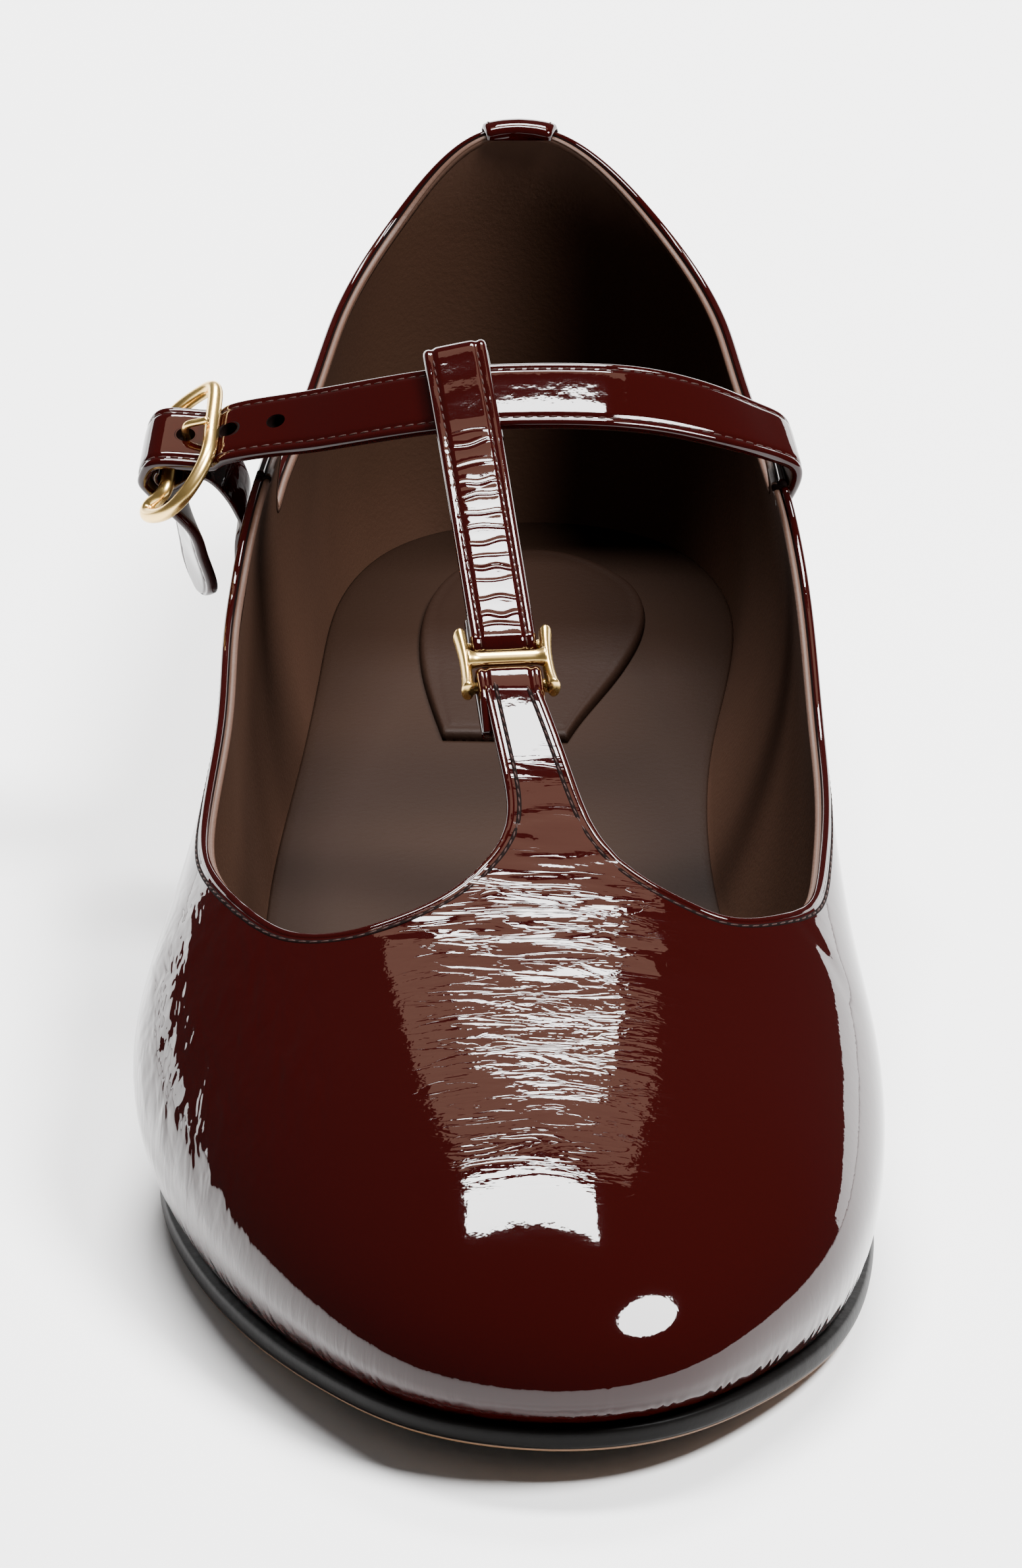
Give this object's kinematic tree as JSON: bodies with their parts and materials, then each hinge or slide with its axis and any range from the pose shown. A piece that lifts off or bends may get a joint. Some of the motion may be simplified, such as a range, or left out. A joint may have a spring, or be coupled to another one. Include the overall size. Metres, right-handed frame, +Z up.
{
  "type": "mary jane flat",
  "caption": "Right burgundy patent mary jane flat with a T-strap, a gold buckle and a low leather sole.",
  "frame": {"origin": "on the floor under the middle of the heel seat, at the underside of the heel lift", "axes": "+Z up, -Y towards the toe, +X towards the medial side of this right shoe"},
  "size_m": [0.0894, 0.252, 0.0708],
  "materials": {
    "patent_leather": "glossy burgundy patent",
    "footbed_leather": "smooth brown lining",
    "sole_edge": "black painted edge",
    "heel_rubber": "matt black",
    "gold_hardware": "polished gold colour"
  },
  "bodies": {
    "root": {"outsole": "sole_edge", "heel_lift": "heel_rubber", "insole": "footbed_leather", "heel_sock": "footbed_leather", "upper": "patent_leather", "back_tab": "patent_leather", "ankle_strap": "patent_leather", "tee_strap": "patent_leather", "tee_link": "gold_hardware", "buckle_frame": "gold_hardware", "buckle_prong": "gold_hardware", "buckle_strap": "patent_leather"}
  },
  "joints": []
}
